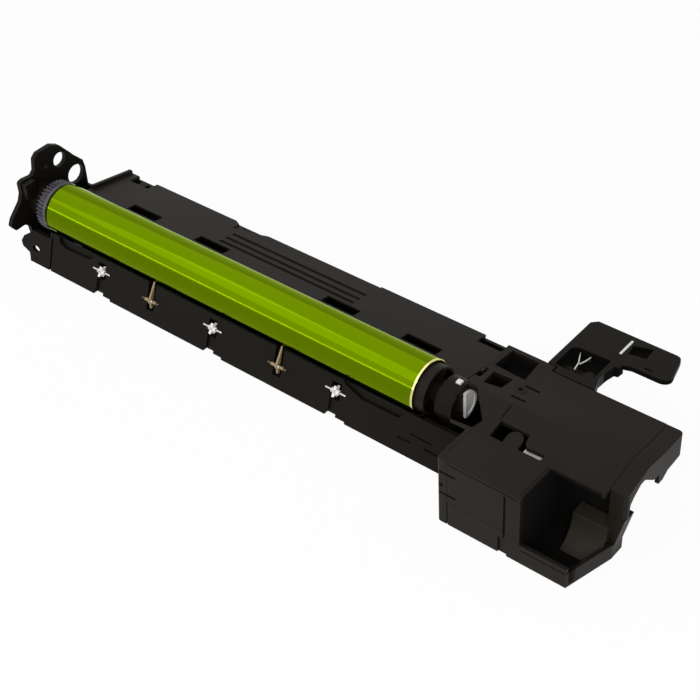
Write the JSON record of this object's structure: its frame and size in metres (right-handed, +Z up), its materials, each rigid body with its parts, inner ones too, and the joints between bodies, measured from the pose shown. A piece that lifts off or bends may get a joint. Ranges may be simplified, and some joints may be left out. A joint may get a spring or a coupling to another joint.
{
  "type": "printer drum unit",
  "caption": "Long drum unit for a laser printer: geared photosensitive drum in an open trough, with cleaning parts and a waste toner block at one end.",
  "frame": {"origin": "centre of the geared flange's outer face, on the drum's axis", "axes": "+X along the drum from its geared end to the toner block, +Y to the back, +Z up"},
  "size_m": [0.4115, 0.122, 0.0582],
  "materials": {
    "black_plastic": "moulded black ABS, satin",
    "drum_coating": "glossy yellow-green photoconductor coat on aluminium",
    "grey_plastic": "dark grey acetal",
    "white_plastic": "natural acetal",
    "amber_plastic": "amber polyimide",
    "steel": "bright drawn steel",
    "sheet_steel": "zinc-plated sheet",
    "dark_rubber": "conductive rubber",
    "blade_rubber": "cast polyurethane",
    "felt": "pressed felt"
  },
  "bodies": {
    "housing": {"main_frame": "black_plastic", "drive_end_housing": "black_plastic", "back_cover": "black_plastic", "block_housing": "black_plastic", "front_cover": "black_plastic", "top_cover": "black_plastic", "end_cover": "black_plastic", "waste_chute": "black_plastic", "handle_arm": "black_plastic", "drum_bush": "white_plastic", "idler_pin": "steel", "charge_bearings": "white_plastic", "charge_springs": "sheet_steel", "cleaning_blade": "blade_rubber", "blade_bracket": "sheet_steel", "end_seals": "felt", "star_axles": "steel", "claw_pins": "steel", "claw_springs": "steel", "contact_spring": "steel", "frame_screws": "steel", "toner_shutter": "white_plastic"},
    "drum": {"drum_tube": "drum_coating", "drive_flange": "grey_plastic", "end_flange": "black_plastic", "coupling_dog": "white_plastic", "earth_plate": "sheet_steel"},
    "idler": {"idler_gear": "white_plastic"},
    "auger": {"waste_auger": "white_plastic"},
    "charge_roller": {"charge_roller_shaft": "steel", "charge_roller_sleeve": "dark_rubber"},
    "star_1": {"star_wheel_1": "white_plastic"},
    "star_2": {"star_wheel_2": "white_plastic"},
    "star_3": {"star_wheel_3": "white_plastic"},
    "claw_1": {"separation_claw_1": "amber_plastic"},
    "claw_2": {"separation_claw_2": "amber_plastic"}
  },
  "joints": [
    {"name": "drum_spin", "type": "hinge", "parent": "housing", "child": "drum", "pos_m": [0, 0, 0], "axis": [1, 0, 0], "continuous": true},
    {"name": "idler_spin", "type": "hinge", "parent": "housing", "child": "idler", "pos_m": [0, 0.01566, -0.01509], "axis": [1, 0, 0], "continuous": true},
    {"name": "auger_spin", "type": "hinge", "parent": "housing", "child": "auger", "pos_m": [0, 0.0295, -0.0185], "axis": [1, 0, 0], "continuous": true},
    {"name": "charge_roller_spin", "type": "hinge", "parent": "housing", "child": "charge_roller", "pos_m": [0, 0, -0.02025], "axis": [1, 0, 0], "continuous": true},
    {"name": "star_spin_1", "type": "hinge", "parent": "housing", "child": "star_1", "pos_m": [0.0612, -0.01793, -0.0144], "axis": [1, 0, 0], "continuous": true},
    {"name": "star_spin_2", "type": "hinge", "parent": "housing", "child": "star_2", "pos_m": [0.1474, -0.01793, -0.0144], "axis": [1, 0, 0], "continuous": true},
    {"name": "star_spin_3", "type": "hinge", "parent": "housing", "child": "star_3", "pos_m": [0.2333, -0.01793, -0.0144], "axis": [1, 0, 0], "continuous": true},
    {"name": "claw_swing_1", "type": "hinge", "parent": "housing", "child": "claw_1", "pos_m": [0.1006, -0.01875, -0.0168], "axis": [1, 0, 0], "range_deg": [0, 8], "stiffness_Nm_per_rad": 0.0005, "springref_deg": -5.73},
    {"name": "claw_swing_2", "type": "hinge", "parent": "housing", "child": "claw_2", "pos_m": [0.1942, -0.01875, -0.0168], "axis": [1, 0, 0], "range_deg": [0, 8], "stiffness_Nm_per_rad": 0.0005, "springref_deg": -5.73}
  ],
  "couplings": [
    {"joint": "idler_spin", "follows": "drum_spin", "ratio": -1.9},
    {"joint": "auger_spin", "follows": "drum_spin", "ratio": 2.1111},
    {"joint": "charge_roller_spin", "follows": "drum_spin", "ratio": -3}
  ]
}
